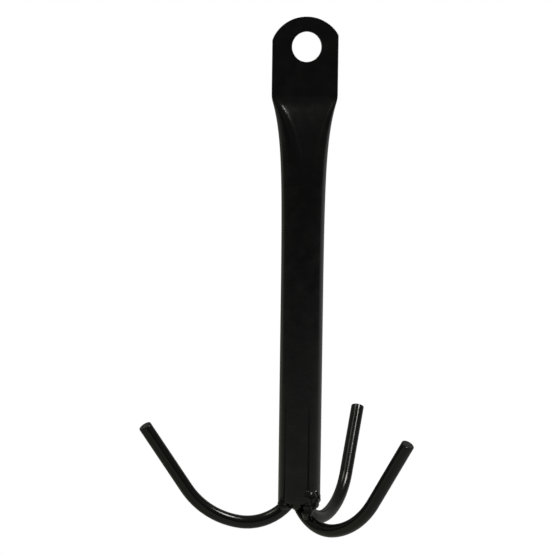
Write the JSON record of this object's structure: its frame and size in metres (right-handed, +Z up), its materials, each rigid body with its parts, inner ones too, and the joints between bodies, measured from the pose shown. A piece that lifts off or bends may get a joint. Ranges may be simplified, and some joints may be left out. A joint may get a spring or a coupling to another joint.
{
  "type": "tack hook",
  "caption": "Hanging tack hook: a tube with a flattened, punched top end and upturned round-rod prongs welded into its open lower end, painted black.",
  "frame": {"origin": "centre of the hang hole, in the middle of the flattened end's thickness", "axes": "+Z up the tube, which runs down from the hole; Y along the hole's axis, with -Y the front; the left prong points along -X"},
  "size_m": [0.1537, 0.1561, 0.3091],
  "materials": {
    "stem_paint": "gloss black enamel",
    "rod_paint": "gloss black enamel",
    "weld_paint": "gloss black enamel over rough weld metal"
  },
  "bodies": {
    "root": {"stem_tube": "stem_paint", "prong_left": "rod_paint", "prong_front": "rod_paint", "prong_back": "rod_paint", "weld_left": "weld_paint", "weld_front": "weld_paint", "weld_back": "weld_paint", "weld_root": "weld_paint"}
  },
  "joints": []
}
